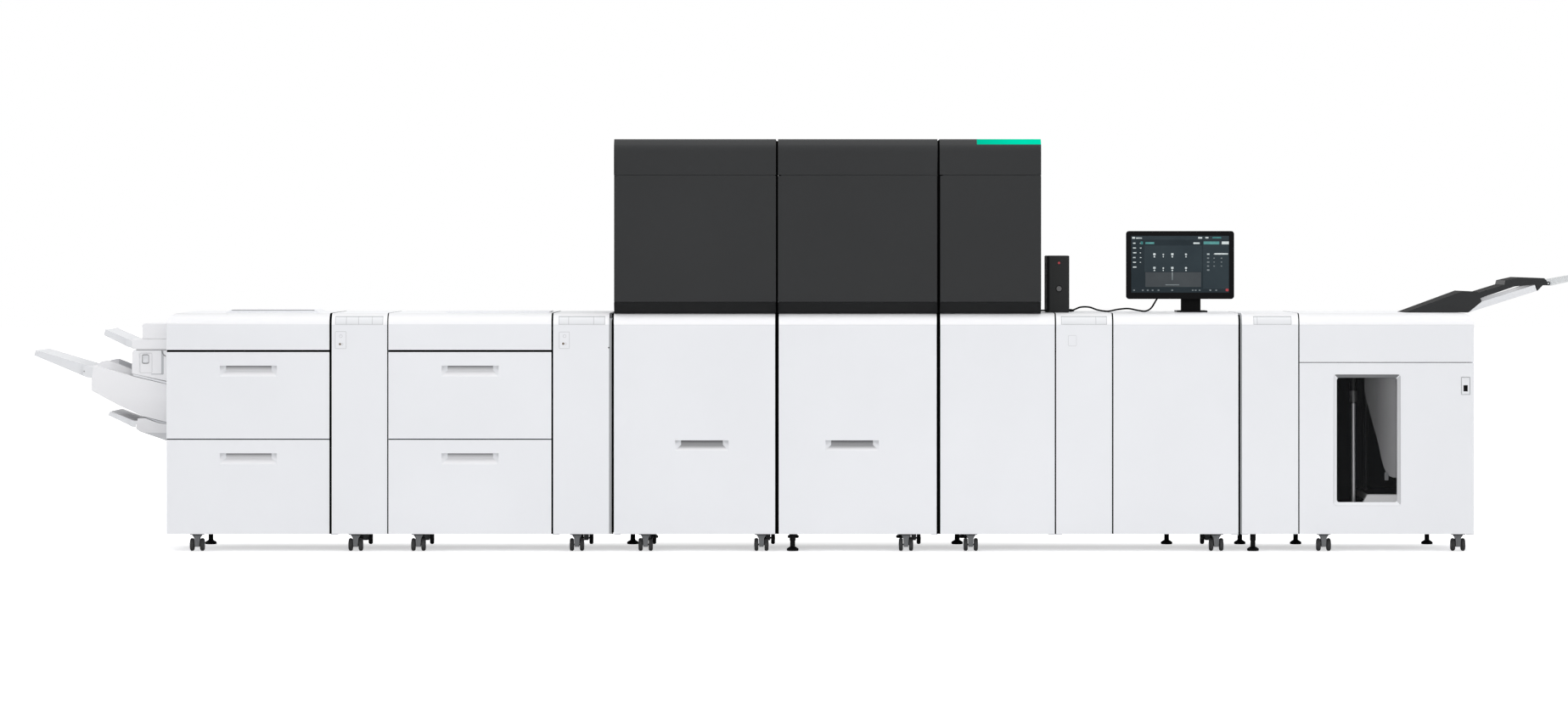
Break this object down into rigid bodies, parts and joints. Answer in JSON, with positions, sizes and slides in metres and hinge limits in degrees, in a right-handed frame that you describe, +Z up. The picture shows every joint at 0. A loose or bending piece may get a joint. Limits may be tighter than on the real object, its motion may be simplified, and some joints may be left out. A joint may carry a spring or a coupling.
{
  "type": "digital production printer",
  "caption": "Long modular press: paper feeders with drawers, relay cabinets, dark engine towers with a status light, exit cabinet, stacker with window and tray, console box and monitor.",
  "frame": {"origin": "on the floor, at the middle of the machine's length and depth, the free cable left out", "axes": "+X along the machine from the feeders to the stacker, front faces -Y, +Z up"},
  "size_m": [7.074, 1.11, 1.868],
  "materials": {
    "cover_white": "satin painted cover",
    "tower_grey": "fine textured dark grey cover",
    "steel": "zinc plated sheet and bar",
    "black_plastic": "moulded black plastic",
    "caster_tyre": "dark rubber tread",
    "fork_grey": "grey moulded fork",
    "drum_green": "coated drum",
    "belt_brown": "polyimide belt",
    "smoked_glass": "smoked clear pane",
    "clear_plastic": "translucent clear plastic",
    "switch_white": "pale rocker",
    "status_green": "lit diffuser"
  },
  "bodies": {
    "machine": {"feeder_1_cabinet": "cover_white", "feeder_2_cabinet": "cover_white", "relay_cabinets": "cover_white", "engine_bases": "cover_white", "tower_left": "tower_grey", "tower_mid": "tower_grey", "tower_end": "tower_grey", "status_light": "status_green", "toner_cartridges": "black_plastic", "imaging_drums": "drum_green", "transfer_belts": "belt_brown", "fuser_rollers": "steel", "exit_cabinet": "cover_white", "stacker_cabinet": "cover_white", "stacker_guide_rods": "steel", "stacker_tray_base": "tower_grey", "stacker_tray": "cover_white", "bypass_housing": "cover_white", "bypass_tray": "cover_white", "console_box": "black_plastic", "monitor_stand": "black_plastic", "monitor_cable": "black_plastic", "caster_forks": "fork_grey", "levelling_feet": "black_plastic"},
    "relay_1_door": {"relay_1_door": "cover_white"},
    "relay_2_door": {"relay_2_door": "cover_white"},
    "relay_3_door": {"relay_3_door": "cover_white"},
    "relay_4_door": {"relay_4_door": "cover_white"},
    "engine_left_door": {"engine_left_door": "cover_white"},
    "engine_mid_door": {"engine_mid_door": "cover_white"},
    "engine_end_door": {"engine_end_door": "cover_white"},
    "tower_left_door": {"tower_left_door": "tower_grey"},
    "tower_mid_door": {"tower_mid_door": "tower_grey"},
    "tower_end_door": {"tower_end_door": "tower_grey"},
    "exit_door": {"exit_door": "cover_white"},
    "stacker_door": {"stacker_door": "cover_white", "stacker_window": "smoked_glass"},
    "feeder_1_top_cover": {"feeder_1_top_cover": "cover_white"},
    "feeder_2_top_cover": {"feeder_2_top_cover": "cover_white"},
    "toner_hood_left": {"toner_hood_left": "tower_grey"},
    "toner_hood_mid": {"toner_hood_mid": "tower_grey"},
    "stacker_lift_tray": {"stacker_lift_tray": "cover_white"},
    "stacker_tray_flap": {"stacker_tray_flap": "clear_plastic"},
    "stacker_switch": {"stacker_switch": "black_plastic"},
    "bypass_extension": {"bypass_extension": "cover_white"},
    "bypass_upper_tray": {"bypass_upper_tray": "cover_white"},
    "bypass_lower_tray": {"bypass_lower_tray": "cover_white"},
    "bypass_switch": {"bypass_switch": "switch_white"},
    "console_button": {"console_button": "steel"},
    "monitor": {"monitor": "black_plastic"},
    "front_caster_wheels": {"front_caster_wheels": "caster_tyre"},
    "rear_caster_wheels": {"rear_caster_wheels": "caster_tyre"},
    "feeder_1_upper_drawer": {"feeder_1_upper_drawer": "cover_white"},
    "feeder_1_upper_plate": {"feeder_1_upper_plate": "steel"},
    "feeder_1_lower_drawer": {"feeder_1_lower_drawer": "cover_white"},
    "feeder_1_lower_plate": {"feeder_1_lower_plate": "steel"},
    "feeder_2_upper_drawer": {"feeder_2_upper_drawer": "cover_white"},
    "feeder_2_upper_plate": {"feeder_2_upper_plate": "steel"},
    "feeder_2_lower_drawer": {"feeder_2_lower_drawer": "cover_white"},
    "feeder_2_lower_plate": {"feeder_2_lower_plate": "steel"}
  },
  "joints": [
    {"name": "relay_1_door_swing", "type": "hinge", "parent": "machine", "child": "relay_1_door", "pos_m": [-2.162, -0.549, 0.079], "axis": [0, 0, -1], "range_deg": [0, 90]},
    {"name": "relay_2_door_swing", "type": "hinge", "parent": "machine", "child": "relay_2_door", "pos_m": [-1.159, -0.549, 0.079], "axis": [0, 0, -1], "range_deg": [0, 90]},
    {"name": "relay_3_door_swing", "type": "hinge", "parent": "machine", "child": "relay_3_door", "pos_m": [1.117, -0.549, 0.079], "axis": [0, 0, -1], "range_deg": [0, 90]},
    {"name": "relay_4_door_swing", "type": "hinge", "parent": "machine", "child": "relay_4_door", "pos_m": [1.959, -0.549, 0.079], "axis": [0, 0, -1], "range_deg": [0, 90]},
    {"name": "engine_left_door_swing", "type": "hinge", "parent": "machine", "child": "engine_left_door", "pos_m": [-0.882, -0.549, 0.079], "axis": [0, 0, -1], "range_deg": [0, 100]},
    {"name": "engine_mid_door_swing", "type": "hinge", "parent": "machine", "child": "engine_mid_door", "pos_m": [0.5705, -0.549, 0.079], "axis": [0, 0, 1], "range_deg": [0, 100]},
    {"name": "engine_end_door_swing", "type": "hinge", "parent": "machine", "child": "engine_end_door", "pos_m": [1.102, -0.549, 0.079], "axis": [0, 0, 1], "range_deg": [0, 90]},
    {"name": "exit_door_swing", "type": "hinge", "parent": "machine", "child": "exit_door", "pos_m": [1.931, -0.549, 0.079], "axis": [0, 0, 1], "range_deg": [0, 90]},
    {"name": "stacker_door_swing", "type": "hinge", "parent": "machine", "child": "stacker_door", "pos_m": [2.997, -0.549, 0.079], "axis": [0, 0, 1], "range_deg": [0, 100]},
    {"name": "tower_left_door_swing", "type": "hinge", "parent": "machine", "child": "tower_left_door", "pos_m": [-0.882, -0.549, 1.129], "axis": [0, 0, -1], "range_deg": [0, 100]},
    {"name": "tower_mid_door_swing", "type": "hinge", "parent": "machine", "child": "tower_mid_door", "pos_m": [0.5705, -0.549, 1.129], "axis": [0, 0, 1], "range_deg": [0, 100]},
    {"name": "tower_end_door_swing", "type": "hinge", "parent": "machine", "child": "tower_end_door", "pos_m": [1.039, -0.549, 1.129], "axis": [0, 0, 1], "range_deg": [0, 100]},
    {"name": "feeder_1_cover_lift", "type": "hinge", "parent": "machine", "child": "feeder_1_top_cover", "pos_m": [-2.912, 0.2143, 0.907], "axis": [-1, 0, 0], "range_deg": [0, 60]},
    {"name": "feeder_1_upper_drawer_slide", "type": "slide", "parent": "machine", "child": "feeder_1_upper_drawer", "axis": [0, -1, 0], "range_m": [0, 0.55]},
    {"name": "feeder_1_upper_plate_lift", "type": "slide", "parent": "feeder_1_upper_drawer", "child": "feeder_1_upper_plate", "axis": [0, 0, 1], "range_m": [0, 0.22]},
    {"name": "feeder_1_lower_drawer_slide", "type": "slide", "parent": "machine", "child": "feeder_1_lower_drawer", "axis": [0, -1, 0], "range_m": [0, 0.55]},
    {"name": "feeder_1_lower_plate_lift", "type": "slide", "parent": "feeder_1_lower_drawer", "child": "feeder_1_lower_plate", "axis": [0, 0, 1], "range_m": [0, 0.22]},
    {"name": "feeder_2_cover_lift", "type": "hinge", "parent": "machine", "child": "feeder_2_top_cover", "pos_m": [-1.909, 0.2143, 0.907], "axis": [-1, 0, 0], "range_deg": [0, 60]},
    {"name": "feeder_2_upper_drawer_slide", "type": "slide", "parent": "machine", "child": "feeder_2_upper_drawer", "axis": [0, -1, 0], "range_m": [0, 0.55]},
    {"name": "feeder_2_upper_plate_lift", "type": "slide", "parent": "feeder_2_upper_drawer", "child": "feeder_2_upper_plate", "axis": [0, 0, 1], "range_m": [0, 0.22]},
    {"name": "feeder_2_lower_drawer_slide", "type": "slide", "parent": "machine", "child": "feeder_2_lower_drawer", "axis": [0, -1, 0], "range_m": [0, 0.55]},
    {"name": "feeder_2_lower_plate_lift", "type": "slide", "parent": "feeder_2_lower_drawer", "child": "feeder_2_lower_plate", "axis": [0, 0, 1], "range_m": [0, 0.22]},
    {"name": "toner_hood_left_lift", "type": "hinge", "parent": "machine", "child": "toner_hood_left", "pos_m": [-0.888, -0.304, 1.859], "axis": [-1, 0, 0], "range_deg": [0, 65]},
    {"name": "toner_hood_mid_lift", "type": "hinge", "parent": "machine", "child": "toner_hood_mid", "pos_m": [-0.1455, -0.304, 1.859], "axis": [-1, 0, 0], "range_deg": [0, 65]},
    {"name": "stacker_tray_lift", "type": "slide", "parent": "machine", "child": "stacker_lift_tray", "axis": [0, 0, 1], "range_m": [0, 0.5]},
    {"name": "stacker_flap_fold", "type": "hinge", "parent": "machine", "child": "stacker_tray_flap", "pos_m": [3.36998, 0, 1.21229], "axis": [0, -1, 0], "range_deg": [0, 50]},
    {"name": "stacker_switch_rock", "type": "hinge", "parent": "stacker_door", "child": "stacker_switch", "pos_m": [2.965, -0.5461, 0.739], "axis": [1, 0, 0], "range_deg": [-6, 6]},
    {"name": "bypass_switch_rock", "type": "hinge", "parent": "machine", "child": "bypass_switch", "pos_m": [-3.027, -0.3961, 0.868], "axis": [1, 0, 0], "range_deg": [-6, 6]},
    {"name": "bypass_extension_fold", "type": "hinge", "parent": "machine", "child": "bypass_extension", "pos_m": [-3.284, 0, 0.828], "axis": [0, 1, 0], "range_deg": [0, 90]},
    {"name": "bypass_upper_tray_fold", "type": "hinge", "parent": "machine", "child": "bypass_upper_tray", "pos_m": [-3.099, 0, 0.947], "axis": [0, 1, 0], "range_deg": [0, 70]},
    {"name": "bypass_lower_tray_fold", "type": "hinge", "parent": "machine", "child": "bypass_lower_tray", "pos_m": [-3.08, 0, 0.578], "axis": [0, 1, 0], "range_deg": [0, 18]},
    {"name": "console_button_press", "type": "slide", "parent": "machine", "child": "console_button", "axis": [0, 1, 0], "range_m": [0, 0.002], "stiffness_N_per_m": 200},
    {"name": "monitor_tilt", "type": "hinge", "parent": "machine", "child": "monitor", "pos_m": [1.449, -0.191, 1.296], "axis": [-1, 0, 0], "range_deg": [-5, 20]},
    {"name": "front_casters_roll", "type": "hinge", "parent": "machine", "child": "front_caster_wheels", "pos_m": [0, -0.495, 0.029], "axis": [1, 0, 0], "continuous": true},
    {"name": "rear_casters_roll", "type": "hinge", "parent": "machine", "child": "rear_caster_wheels", "pos_m": [0, 0.005, 0.029], "axis": [1, 0, 0], "continuous": true}
  ],
  "couplings": [
    {"joint": "rear_casters_roll", "follows": "front_casters_roll", "ratio": 1}
  ]
}
